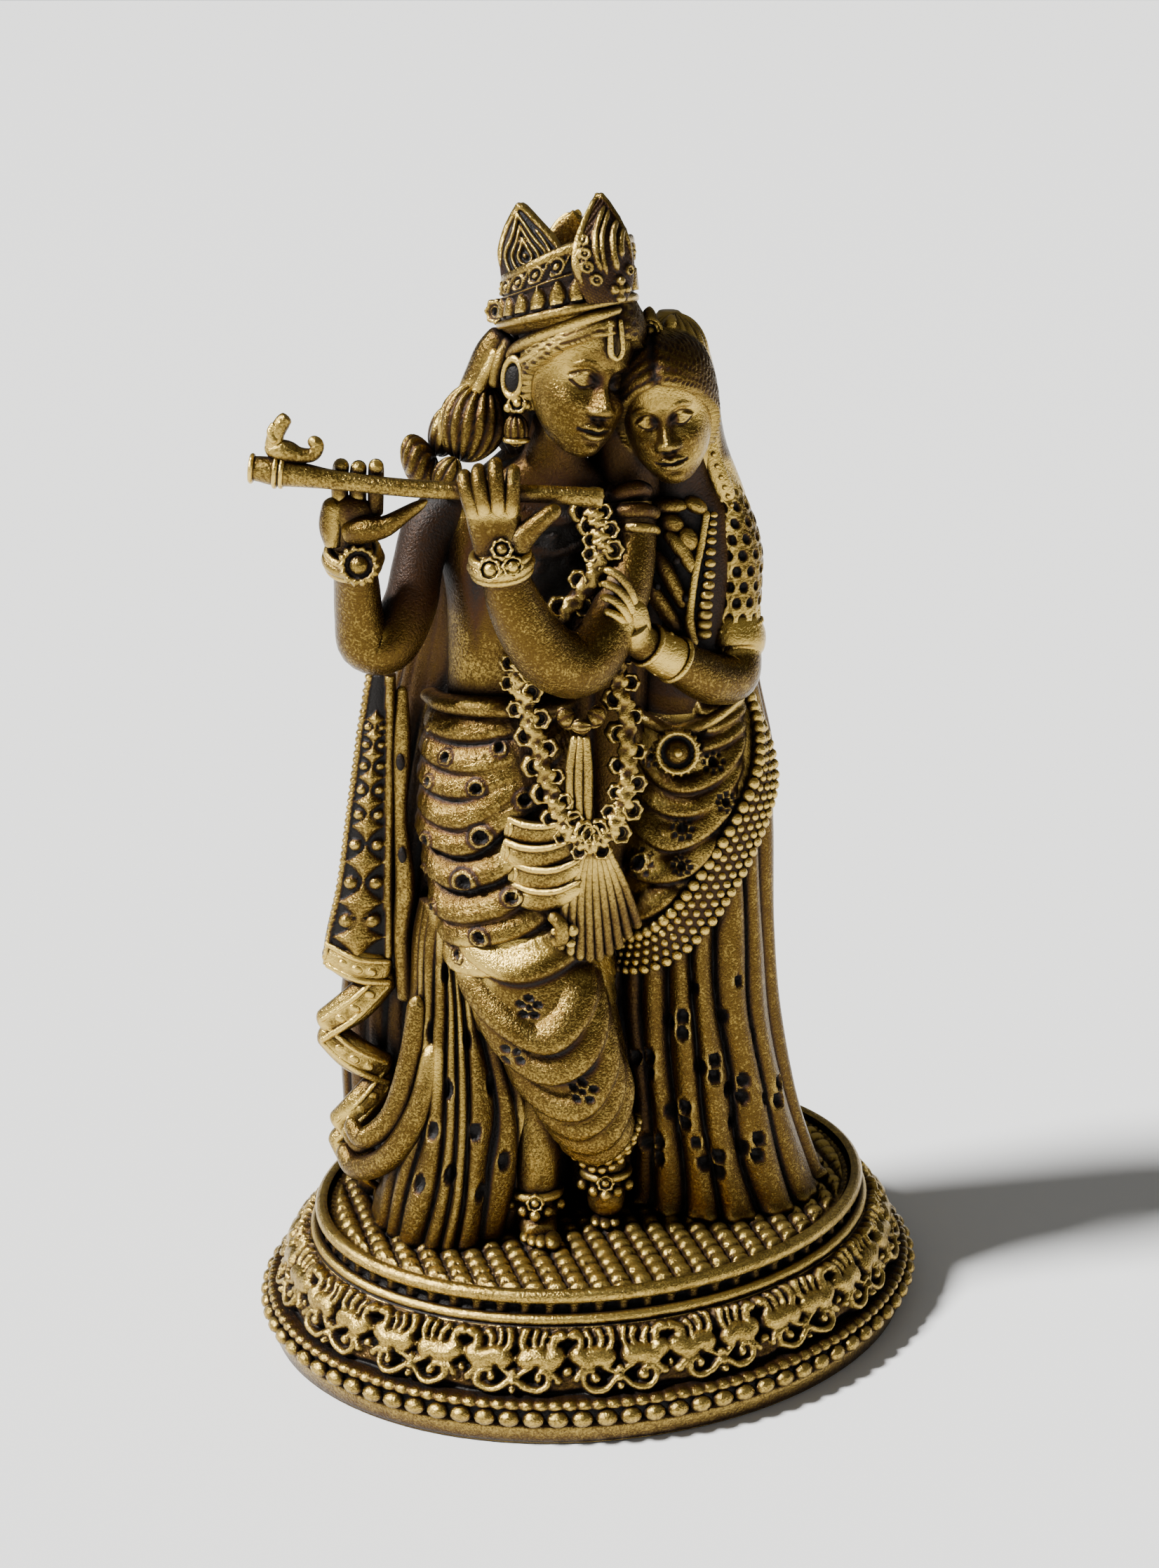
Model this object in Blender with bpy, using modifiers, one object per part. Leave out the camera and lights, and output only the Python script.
# Cast statuette of a flute player and a companion on an oval plinth, one solid piece.
# Metres, +Z up. The origin is the middle of the plinth's underside, +X along its long axis, -Y its front.
import math

import bmesh
import bpy
import numpy as np
from mathutils import Matrix, Vector

# Driving sizes, in metres
TOTAL_HEIGHT = 0.150
PLINTH_LENGTH = 0.0926
PLINTH_WIDTH = 0.0746
PLINTH_HEIGHT = 0.0175
FOOT_HEIGHT = 0.0026
BEAD_RADIUS = 0.0012
LIP_HEIGHT = 0.0009
BAND_INSET = 0.0066
SCOTIA_DEPTH = 0.0010
RIM_RADIUS = 0.0009
DECK_RECESS = 0.0005
# The figures are laid out square to their best view, then turned on the plinth
GROUP_TURN = math.radians(-17)

# Figure points are in reference millimetres above the table, for a statuette 150 mm high
REFERENCE_TOP = 150.0
REFERENCE_DECK = 17.5
SCALE = (TOTAL_HEIGHT - PLINTH_HEIGHT) / (REFERENCE_TOP - REFERENCE_DECK)

PLINTH_SEGMENTS = 72
VOXEL_SHARE = 0.0042
FIGURE_TRIANGLES = 7000
GOLD = (0.45, 0.27, 0.075, 1.0)
TURN = 2 * math.pi

lumps = []


def clear_scene():
    for old in list(bpy.data.objects):
        bpy.data.objects.remove(old)


def at(x, y, z):
    """A figure point in reference millimetres as a world point in metres."""
    c, s = math.cos(GROUP_TURN), math.sin(GROUP_TURN)
    lift = PLINTH_HEIGHT + SCALE * (z - REFERENCE_DECK)
    return SCALE * (c * x - s * y), SCALE * (s * x + c * y), lift


def eased(rows, count):
    """Keyed rows of numbers, read at even steps along a Catmull-Rom curve."""
    rows = np.asarray(rows, float)
    ends = np.vstack([2 * rows[0] - rows[1], rows, 2 * rows[-1] - rows[-2]])
    t = np.linspace(0, len(rows) - 1, count)
    i = np.minimum(t.astype(int), len(rows) - 2)
    u = (t - i)[:, None]
    a, b, c, d = ends[i], ends[i + 1], ends[i + 2], ends[i + 3]
    bend = 2 * a - 5 * b + 4 * c - d
    return 0.5 * (2 * b + (c - a) * u + bend * u**2 + (3 * b - a - 3 * c + d) * u**3)


def closed_rings(name, rings):
    """A closed mesh through rings of equal point counts, with one point at each end."""
    count, sides = rings.shape[:2]
    points = np.vstack([rings.reshape(-1, 3), rings[0].mean(0), rings[-1].mean(0)])
    ring = np.arange(sides)
    after = (ring + 1) % sides
    faces = []
    for row in range(count - 1):
        low, high = row * sides, (row + 1) * sides
        faces += np.stack([low + ring, low + after, high + after, high + ring], 1).tolist()
    first, last, top = count * sides, count * sides + 1, (count - 1) * sides
    faces += np.stack([after, ring, np.full(sides, first)], 1).tolist()
    faces += np.stack([top + ring, top + after, np.full(sides, last)], 1).tolist()
    mesh = bpy.data.meshes.new(name)
    mesh.from_pydata([at(*p) for p in points], [], faces)
    made = bmesh.new()
    made.from_mesh(mesh)
    bmesh.ops.recalc_face_normals(made, faces=made.faces)
    made.to_mesh(mesh)
    made.free()
    lumps.append(bpy.data.objects.new(name, mesh))


def column(name, stations, relief=None, rows=40, sides=48):
    """An upright loft. A station is z, centre x, centre y, half width and half depth."""
    z, cx, cy, rx, ry = (v[:, None] for v in eased(sorted(stations), rows).T)
    angle = np.linspace(0, TURN, sides, endpoint=False)[None, :]
    swell = 0 if relief is None else relief(angle, z)
    x = cx + (rx + swell) * np.cos(angle)
    y = cy + (ry + swell) * np.sin(angle)
    closed_rings(name, np.stack([x, y, z + 0 * x], -1))


def limb(name, stations, flat=1.0, side_way=(0, 1, 0), rows=20, sides=14):
    """A round or flattened member on a smooth path. A station is x, y, z and radius.

    flat thins it along side_way.
    """
    keyed = eased(stations, rows)
    path, radius = keyed[:, :3], keyed[:, 3, None, None]
    along = np.gradient(path, axis=0)
    along /= np.linalg.norm(along, axis=1)[:, None]
    across = np.cross(along, np.asarray(side_way, float))
    across /= np.linalg.norm(across, axis=1)[:, None]
    thin = np.cross(along, across)
    angle = np.linspace(0, TURN, sides, endpoint=False)[None, :, None]
    ring = np.cos(angle) * across[:, None] + flat * np.sin(angle) * thin[:, None]
    closed_rings(name, path[:, None] + radius * ring)


def ball(name, centre, radii, tilt=0.0):
    """A UV sphere stretched to three radii and tilted about the view direction."""
    shape = Matrix.Rotation(tilt, 4, "Y") @ Matrix.Diagonal((*radii, 1.0))
    made = bmesh.new()
    bmesh.ops.create_uvsphere(made, u_segments=24, v_segments=14, radius=1, matrix=shape)
    for vertex in made.verts:
        vertex.co = at(*(Vector(centre) + vertex.co))
    mesh = bpy.data.meshes.new(name)
    made.to_mesh(mesh)
    made.free()
    lumps.append(bpy.data.objects.new(name, mesh))


def pleats(count, depth, low, high):
    """Upright flutes that deepen from the height high down to the height low."""

    def relief(angle, z):
        grow = np.clip((high - z) / (high - low), 0, 1)
        return depth * grow * (np.abs(np.cos(count * angle / 2)) ** 0.7 - 0.6)

    return relief


def swags(pitch, depth, sag, low, high, middle=-math.pi / 2):
    """Cloth folds that hang in curves about the angle middle, between two heights."""

    def relief(angle, z):
        off = (angle - middle + math.pi) % TURN - math.pi
        phase = (z - sag * off**2) / pitch
        inside = np.clip((z - low) / 3, 0, 1) * np.clip((high - z) / 3, 0, 1)
        return depth * inside * (np.abs(np.sin(math.pi * phase)) ** 0.6 - 0.5)

    return relief


# Plinth
def plinth_profile():
    """Inset from the widest edge and height, from the rim of the underside to the deck."""
    bead_top = FOOT_HEIGHT + 2 * BEAD_RADIUS
    lip_top = bead_top + LIP_HEIGHT
    rim_low = PLINTH_HEIGHT - 2 * RIM_RADIUS
    ridge = rim_low - 2 * SCOTIA_DEPTH
    points = [(BEAD_RADIUS * 0.5, 0.0), (BEAD_RADIUS * 0.3, FOOT_HEIGHT)]
    for step in range(5):
        swing = math.pi * step / 4
        rise = FOOT_HEIGHT + BEAD_RADIUS * (1 - math.cos(swing))
        points.append((BEAD_RADIUS * (1 - math.sin(swing)), rise + 0.0001 * step))
    points += [(BEAD_RADIUS * 0.8, lip_top), (BEAD_RADIUS * 1.8, lip_top + 0.0001)]
    for step in range(1, 5):
        share = step / 4
        sweep = BAND_INSET * share**0.8
        points.append((BEAD_RADIUS * 1.8 + sweep * 0.8, lip_top + (ridge - lip_top) * share))
    outer = BEAD_RADIUS * 1.8 + BAND_INSET * 0.8
    points.append((outer - RIM_RADIUS * 0.3, ridge + RIM_RADIUS))
    points.append((outer + SCOTIA_DEPTH, ridge + 1.6 * RIM_RADIUS))
    points.append((outer + SCOTIA_DEPTH, rim_low))
    points.append((outer, rim_low + RIM_RADIUS * 0.6))
    points.append((outer + RIM_RADIUS * 0.4, PLINTH_HEIGHT))
    points.append((outer + RIM_RADIUS * 1.8, PLINTH_HEIGHT - DECK_RECESS))
    return points


def make_plinth():
    angle = np.linspace(0, TURN, PLINTH_SEGMENTS, endpoint=False)
    rings = []
    for inset, height in plinth_profile():
        x = (PLINTH_LENGTH / 2 - inset) * np.cos(angle)
        y = (PLINTH_WIDTH / 2 - inset) * np.sin(angle)
        rings.append(np.stack([x, y, np.full_like(x, height)], -1))
    made = bmesh.new()
    rows = [[made.verts.new(p) for p in ring] for ring in rings]
    for low, high in zip(rows, rows[1:]):
        for i in range(PLINTH_SEGMENTS):
            j = (i + 1) % PLINTH_SEGMENTS
            made.faces.new((low[i], low[j], high[j], high[i]))
    made.faces.new(list(reversed(rows[0])))
    made.faces.new(rows[-1])
    mesh = bpy.data.meshes.new("plinth")
    made.to_mesh(mesh)
    made.free()
    return bpy.data.objects.new("plinth", mesh)


# Flute player
def player_body():
    hips = [
        (45, -7.0, -9.5, 9.0, 7.0), (52, -7.6, -8.8, 10.4, 8.0), (61, -9.7, -6.5, 11.2, 8.4),
        (70, -10.8, -5.5, 11.0, 8.4), (77, -11.0, -5.0, 10.8, 8.2), (83, -11.3, -5.0, 9.8, 7.4),
        (88, -11.6, -5.0, 8.6, 6.4), (90, -11.6, -5.0, 7.6, 5.6),
    ]
    column("hips", hips, swags(4.6, 1.0, 2.2, 44, 86, -2.0), rows=56)
    torso = [
        (86, -11.4, -5, 7.0, 5.2), (94, -11.0, -5, 7.2, 5.4), (101, -10, -5, 8.6, 5.8),
        (108, -8.8, -5, 10.8, 5.8), (113, -7.8, -5.4, 10.8, 5.2), (116.5, -6.6, -5.8, 7.6, 4.2),
        (119, -5, -7, 3.8, 3.4), (124, -4, -8, 3.4, 3.4),
    ]
    column("torso", torso)
    limb("belt_front", [(-20, -7, 87, 1.2), (-16, -11, 87.6, 1.4), (-9, -12, 87.4, 1.4), (-3, -9, 87, 1.2)])


def player_legs():
    front_leg = [
        (24, 1.0, -11.5, 4.4, 4.2), (28, 0.6, -11.5, 4.4, 4.6), (34, -1.0, -11.8, 5.8, 6.0),
        (43, -4.0, -11.5, 7.7, 7.2), (49, -6.4, -10.6, 9.2, 8.0), (57, -8.6, -8.4, 10, 8.6),
        (62, -9.6, -7, 9.6, 7.6),
    ]
    column("front_leg", front_leg, swags(4.4, 0.9, 3.4, 26, 61, -1.9), rows=56)
    limb("front_shin", [(1, -11, 30, 3), (1.6, -10, 24, 2.4), (1.6, -9.4, 19.5, 2.2)])
    limb("front_foot", [(1.6, -6, 22, 2.2), (1.6, -9, 19.4, 2.2), (1.6, -12, 18.6, 1.8)])
    limb("standing_shin", [(-7, -9, 38, 4), (-7.4, -11, 28, 3.4), (-7.6, -12, 20, 3.2)])
    limb("anklet", [(-11, -13, 22.4, 1), (-7.6, -16, 22.2, 1.2), (-4, -12.6, 22.4, 1)])
    limb("standing_foot", [(-7.8, -11, 19.6, 3), (-7.2, -15, 19, 2.6), (-6.9, -17.4, 18.6, 2)])


def pleated_fall():
    fall = [
        (17.2, -19.4, -7.2, 10.2, 11.6), (25, -17.9, -7.6, 10.2, 10.0),
        (35, -17.0, -8.0, 8.8, 8.2), (47, -17.4, -7.6, 6.2, 6.0), (57, -17.8, -7.2, 5.4, 4.6),
        (66, -17.2, -6.4, 4.4, 4.6),
    ]
    column("pleated_fall", fall, pleats(17, 1.6, 24, 60), rows=36, sides=84)
    folds = [
        [(-22.6, -11.5, 50, 1.4), (-23.6, -12, 42, 1.5), (-26, -13, 34, 1.5), (-30, -13, 30.2, 1.5), (-32.2, -11, 32, 1.2)],
        [(-20.5, -13, 44, 1.5), (-22.5, -14, 35.5, 1.7), (-26.5, -14, 28.4, 1.8), (-31.2, -11.8, 25.2, 1.8), (-34, -9, 27, 1.5)],
    ]
    for number, fold in enumerate(folds):
        limb(f"swept_hem_{number}", fold)


def shawl():
    strip = [
        (-26.6, -6.4, 92, 1.6), (-27.6, -6.2, 84, 2.2), (-28.4, -6, 74, 2.8),
        (-29.6, -6, 64, 3.6), (-30.8, -6, 54, 4.6),
    ]
    limb("shawl_border", strip, flat=0.45)
    zigzag = [(-26.4, 52.4), (-35.6, 43.4), (-27, 36.6), (-34.2, 28.0), (-30, 21)]
    low = (-34.6, 54.2)
    for number, (x, z) in enumerate(zigzag):
        ends = [(low[0], -5.6, low[1], 1.9), (x, -6.4, z, 1.9)]
        limb(f"shawl_fold_{number}", ends, rows=4)
        low = (x, z)
    backing = [
        (17.2, -22, -1.5, 11.5, 7.5), (30, -24.5, -2, 9.5, 4.6), (45, -24.5, -2, 9.0, 4.2),
        (60, -23.5, -2, 7.6, 4.2), (80, -20.5, -1.6, 7.6, 4), (95, -17.5, -1, 8.2, 4),
        (108, -13.5, -0.6, 9.5, 4), (115, -9, -1.5, 7.0, 3.6), (119, -7, -3, 4, 3),
    ]
    column("shawl_back", backing, pleats(14, 1.0, 30, 100), rows=36, sides=72)


def cloth_between():
    """The cloth and hair that close the space between the two figures."""
    middle = [
        (17.2, 0, -0.6, 8.0, 6.0), (40, 1.0, -1.5, 6.4, 5.0), (60, 1.5, -2.0, 6.4, 5.0),
        (80, 1.0, -2.6, 6.4, 4.6), (95, 1.5, -3.0, 6.8, 4.6), (108, 3.0, -3.0, 6.8, 4.4),
        (116, 4.0, -3.4, 5.0, 4.2), (124, 3.8, -3.6, 4.4, 4.0), (131, 3.6, -3.6, 3.6, 3.6),
        (133.4, 3.6, -3.6, 1.4, 1.6),
    ]
    column("middle", middle, rows=36, sides=32)


def player_arms():
    right = [(-14.5, -5, 112, 4.8), (-19.4, -7, 109, 5.4), (-23.6, -9.6, 101, 5.2), (-26.8, -11.8, 96.8, 4.2)]
    limb("right_upper_arm", right)
    ball("right_shoulder", (-18.6, -6.0, 112.6), (5.4, 4.4, 3.8))
    limb("right_forearm", [(-27, -11.8, 95.6, 4.2), (-28, -13.4, 101, 3.6), (-27.9, -16.6, 108.4, 2.8)])
    limb("right_hand", [(-27.8, -17, 108, 2.7), (-27.8, -18.6, 112.5, 3.0), (-27.2, -20, 116, 2.6)])
    limb("right_thumb", [(-26.6, -18, 111, 1.8), (-23.8, -20, 113.6, 1.6), (-20.4, -20.6, 116, 1.0)])
    for finger in range(4):
        x = -29.4 + 1.75 * finger
        limb(f"right_finger_{finger}", [(x, -19, 115, 1.0), (x, -19.4, 118, 1.0), (x, -20.6, 120.4, 0.9)])
    left = [(3.6, -7, 112, 3.8), (6.2, -10.8, 106, 3.8), (4.6, -15, 99, 3.9), (0.6, -18, 95.6, 3.9)]
    limb("left_upper_arm", left)
    limb("left_forearm", [(-0.4, -18.4, 95.8, 4.0), (-4.8, -20, 100.4, 4.2), (-10.5, -21.6, 109.2, 2.8)])
    limb("left_hand", [(-10.7, -21.6, 109, 2.8), (-11.2, -22, 113, 3.8), (-12, -22, 116.6, 3.4)], flat=0.6)
    for finger in range(4):
        x = -15.0 + 2.1 * finger
        limb(f"left_finger_{finger}", [(x, -22.4, 115.4, 1.1), (x + 0.3, -23, 118.4, 1.05), (x + 0.6, -22.2, 121, 0.9)])
    limb("left_thumb", [(-8.6, -22, 111.6, 1.8), (-6, -22.6, 114, 1.5), (-3.8, -22.4, 116.6, 1.1)])
    for name, x, y, z, size in (("right", -28, -16.6, 108.6, 3.5), ("left", -10.6, -21.6, 109.4, 3.6)):
        ball(f"{name}_bracelet", (x, y, z), (size, size, 1.3))


def flute():
    limb("flute", [(-38.4, -21.6, 121, 1.6), (-30, -21.8, 119.9, 1.25), (-14, -21.4, 118.4, 1.1), (1, -20.6, 116.8, 1.0)])
    ball("flute_bird", (-35.4, -21.6, 123), (2.3, 1.3, 1.6), 0.3)
    limb("bird_neck", [(-35.8, -21.6, 123, 1.3), (-35.0, -21.6, 125, 1.0), (-34.3, -21.6, 127, 0.9)])
    limb("bird_tail", [(-34.4, -21.6, 122.4, 1.2), (-32.6, -21.6, 122, 1.0), (-31.4, -21.6, 123.4, 0.9)])


def player_head():
    head = [
        (119.8, -0.7, -12.4, 1.4, 1.4), (121.2, -1.0, -12.0, 3.6, 3.2), (124, -1.9, -10.8, 5.2, 5.4),
        (128, -2.7, -9.8, 6.4, 6.6), (132, -3.4, -9.2, 6.8, 7.0), (136, -3.9, -8.8, 6.4, 6.6),
        (139, -4.2, -8.6, 4.6, 4.8), (140.5, -4.3, -8.6, 1.6, 1.6),
    ]
    column("player_head", head, rows=30)
    limb("player_nose", [(0.8, -14.6, 131, 0.7), (1.8, -15.9, 127.6, 1.1), (1.5, -15.2, 126.2, 1.0)], rows=8)
    hair = [
        ("hair_side", (-9.6, -6.4, 128), (3.0, 5.0, 7.0), 0.25),
        ("hair_bun", (-13.6, -3.8, 121), (4.2, 3.6, 4.8), 0.5),
        ("hair_lock", (-17.6, -3.0, 118.4), (3.6, 3.2, 3.2), 0.6),
        ("hair_shoulder", (-20.8, -4.6, 116), (3.4, 3.0, 2.2), 0.2),
        ("hair_back", (-6.5, -2.6, 125), (7.0, 4.4, 9.0), 0.1),
        ("ear_drop", (-8.2, -10.4, 123.2), (1.3, 1.3, 2.2), 0.0),
        ("ear", (-9.4, -10.2, 128.6), (1.0, 1.6, 2.8), 0.1),
    ]
    for name, centre, radii, tilt in hair:
        ball(name, centre, radii, tilt)


def crown():
    band = [
        (132.8, -3.6, -8.8, 7.4, 7.6), (134.2, -3.7, -8.8, 8.0, 8.2), (137, -3.8, -8.6, 7.8, 8.0),
        (140.6, -4.0, -8.4, 7.6, 7.8), (141.8, -4.0, -8.4, 6.8, 7.0),
    ]
    column("crown_band", band, rows=12)
    plates = [
        ("crown_front", 1.2, -11.6, 150.2, 4.0, 0.9), ("crown_side", -8.4, -9.4, 148.2, 3.6, -0.5),
        ("crown_rear", -7.0, -3.4, 147.4, 3.4, 0.8),
    ]
    for name, x, y, top, half, turn in plates:
        low, high = 138.6, top
        stations = []
        for share, width in ((0, 0.75), (0.25, 1.0), (0.5, 0.92), (0.75, 0.6), (0.93, 0.22), (1, 0.06)):
            stations.append((x, y, low + (high - low) * share, half * width))
        away = (math.sin(turn), -math.cos(turn), 0.0)
        limb(name, stations, flat=0.36, side_way=away, rows=12, sides=12)


def garland():
    loop = [
        (-4.5, -12, 113, 1.2), (-7.5, -12.5, 104, 1.2), (-9.2, -13, 95, 1.3), (-7.4, -14.6, 87, 1.6),
        (-5.6, -15.6, 80, 1.7), (-3.4, -16.4, 75, 1.7), (-0.2, -16.6, 73, 1.6), (2.8, -15.4, 76, 1.5),
        (3.8, -14, 82, 1.4), (3.4, -12.6, 90, 1.3), (2.4, -11.4, 100, 1.2), (0.5, -10.4, 110, 1.1),
    ]
    limb("garland", loop, rows=48, sides=10)
    sash = [(-10.8, 73.8), (-10.6, 71), (-10.2, 68.2), (-10, 65.6)]
    for number, (x, z) in enumerate(sash):
        ends = [(x, -13.8, z, 1.4), (x + 4.4, -15.6, z - 0.9, 1.5), (-1.6, -15, z + 1.2, 1.3)]
        limb(f"sash_{number}", ends, rows=8)
    for number in range(5):
        foot = (-1.2 + 1.5 * number, -13.8 + 0.4 * number, 57 + 0.9 * number, 1.0)
        limb(f"sash_end_{number}", [(-0.6 + 0.5 * number, -15, 72, 0.8), (-0.8 + number, -14.6, 65, 1.1), foot], rows=8)


# Companion
def companion_body():
    skirt = [
        (17.2, 17.2, 1.8, 14.4, 13.2), (27, 15.6, 1.4, 12.6, 11.8), (36, 14.4, 1.0, 11.6, 10.8),
        (46, 13.4, 0.6, 11.0, 10.2), (58, 12.6, 0.6, 10.8, 10.0), (66, 12.8, 0.2, 10.6, 9.4),
    ]
    column("skirt", skirt, pleats(22, 1.5, 40, 62), rows=36, sides=110)
    hips = [
        (52, 12.8, 0.4, 10.8, 9.8), (60, 12.8, 0.4, 11.4, 9.8), (68, 12.8, 0.2, 11.2, 9.2),
        (76, 13.0, 0, 10.2, 8.4), (83, 12.6, -0.2, 8.2, 7.0), (88, 12, -0.6, 6.6, 5.6),
    ]
    column("saree_hips", hips, swags(4.4, 0.9, 3.2, 54, 86, -0.9), rows=44)
    torso = [
        (84, 12, -0.6, 6.8, 5.4), (92, 12, -1, 6.4, 5.2), (99, 12.2, -1.6, 7.0, 5.8),
        (105, 12.4, -1.4, 7.4, 5.4), (111, 12.2, -1.4, 6.8, 4.6), (115, 11.4, -2.4, 4.2, 3.4),
        (119, 10.4, -4, 3.2, 3.2),
    ]
    column("companion_torso", torso)
    border = [
        (18.4, -2.6, 87, 2.0), (22.2, -2.4, 80.6, 2.2), (22.8, -3.4, 74, 2.3), (20.6, -6.8, 66.6, 2.3),
        (16.4, -9.4, 60.4, 2.3), (11, -11, 55.6, 2.3), (5.4, -10.8, 51.6, 2.2), (1.6, -9.2, 49.2, 2.0),
    ]
    limb("beaded_border", border, flat=0.5, rows=28)
    ball("waist_rosette", (10.2, -8.6, 82.4), (2.8, 1.4, 2.8))


def companion_arms():
    limb("companion_upper_arm", [(16.6, -1, 111, 3.0), (18.6, -1.6, 103, 3.0), (18.2, -3.4, 95, 3.0), (17.2, -5, 91, 3.2)])
    ball("armlet", (18.6, -3.2, 95.6), (3.4, 3.4, 1.7))
    limb("companion_forearm", [(17.4, -5.6, 90.8, 3.2), (13, -9.8, 91.8, 3.2), (7, -13.6, 96.6, 2.4)])
    limb("companion_palm", [(7, -13.8, 97, 2.2), (5.6, -15.2, 100, 2.4), (4.4, -16, 102.6, 2.0)])
    for finger in range(4):
        reach = [(5.4 - 0.5 * finger, -15.8, 104.4 - 1.3 * finger, 0.8)]
        reach.append((3.0 - 0.5 * finger, -16.6, 105.2 - 1.4 * finger, 0.8))
        reach.append((0.6 - 0.1 * finger, -17, 106.4 - 1.6 * finger, 0.7))
        limb(f"companion_finger_{finger}", reach, rows=8, sides=10)


def companion_head():
    head = [
        (116.4, 8.9, -9.6, 1.2, 1.4), (117.6, 8.9, -9.0, 3.0, 3.2), (120.4, 9.1, -7.8, 4.6, 5.0),
        (124, 9.3, -6.8, 5.4, 6.0), (128, 9.2, -5.8, 5.6, 6.4), (132, 9.0, -4.8, 5.0, 5.8),
        (134.6, 8.8, -4.2, 2.6, 3.4),
    ]
    column("companion_head", head, rows=26)
    limb("companion_nose", [(8.9, -12.6, 126, 0.6), (8.9, -13.8, 122.8, 0.9), (8.9, -13.2, 121.8, 0.8)], rows=8)
    veil = [
        (17.2, 16, 7, 12.5, 7.5), (40, 13.6, 6, 10.4, 6.0), (60, 12.8, 5.4, 10.6, 6.0),
        (78, 13, 4.4, 10.4, 5.6), (90, 13, 3, 8.2, 4.6), (102, 13.4, 2, 7.8, 4.2),
        (112, 13, 0.6, 6.8, 4.6), (120, 12, -1.6, 5.0, 4.6), (128, 11, -2.8, 4.8, 5.2),
        (133, 9.8, -3, 3.8, 4.4), (135.4, 9, -3, 1.4, 1.6),
    ]
    column("veil", veil, pleats(16, 0.8, 20, 110), rows=44, sides=72)
    limb("hair_jewel", [(6.4, -6.4, 132.6, 1.6), (6.4, -6.2, 134.6, 1.8), (6.8, -5.8, 136.4, 1.0)], rows=8)


def carved_group():
    """All the carved lumps fused into one skin, then cut down to a light solid."""
    player_body()
    player_legs()
    pleated_fall()
    shawl()
    cloth_between()
    player_arms()
    flute()
    player_head()
    crown()
    garland()
    companion_body()
    companion_arms()
    companion_head()
    joined = bmesh.new()
    for lump in lumps:
        joined.from_mesh(lump.data)
    mesh = bpy.data.meshes.new("group")
    joined.to_mesh(mesh)
    joined.free()
    for lump in lumps:
        bpy.data.objects.remove(lump)
    group = bpy.data.objects.new("group", mesh)
    bpy.context.scene.collection.objects.link(group)
    skin = group.modifiers.new("one_skin", "REMESH")
    skin.mode = "VOXEL"
    skin.voxel_size = VOXEL_SHARE * TOTAL_HEIGHT
    graph = bpy.context.evaluated_depsgraph_get()
    whole = bpy.data.meshes.new_from_object(group.evaluated_get(graph))
    group.modifiers.clear()
    group.data = largest_body(whole)
    light = group.modifiers.new("light", "DECIMATE")
    light.ratio = min(1.0, FIGURE_TRIANGLES / (2 * len(group.data.polygons)))
    graph = bpy.context.evaluated_depsgraph_get()
    group.data = bpy.data.meshes.new_from_object(group.evaluated_get(graph))
    group.modifiers.clear()
    return group


def largest_body(mesh):
    """The mesh without the specks that fusing can leave beside the main body."""
    made = bmesh.new()
    made.from_mesh(mesh)
    left = set(made.verts)
    bodies = []
    while left:
        body, edge = set(), [left.pop()]
        while edge:
            vertex = edge.pop()
            body.add(vertex)
            for link in vertex.link_edges:
                other = link.other_vert(vertex)
                if other in left:
                    left.discard(other)
                    edge.append(other)
        bodies.append(body)
    bodies.sort(key=len)
    print("bodies in the fused skin:", [len(body) for body in bodies])
    for body in bodies[:-1]:
        bmesh.ops.delete(made, geom=list(body), context="VERTS")
    made.to_mesh(mesh)
    made.free()
    return mesh


def gold_material():
    gold = bpy.data.materials.new("antique_gold_paint")
    gold.use_nodes = True
    shader = gold.node_tree.nodes["Principled BSDF"]
    shader.inputs["Base Color"].default_value = GOLD
    shader.inputs["Metallic"].default_value = 0.8
    shader.inputs["Roughness"].default_value = 0.45
    return gold


def build():
    clear_scene()
    made = bpy.data.collections.new("flute_player_group")
    helpers = bpy.data.collections.new("helpers")
    bpy.context.scene.collection.children.link(made)
    bpy.context.scene.collection.children.link(helpers)
    group = carved_group()
    bpy.context.scene.collection.objects.unlink(group)
    helpers.objects.link(group)
    group.hide_render = True
    group.display_type = "WIRE"
    statue = make_plinth()
    statue.name = "statue"
    statue.data.materials.append(gold_material())
    made.objects.link(statue)
    fuse = statue.modifiers.new("cast_in_one", "BOOLEAN")
    fuse.operation = "UNION"
    fuse.object = group


build()
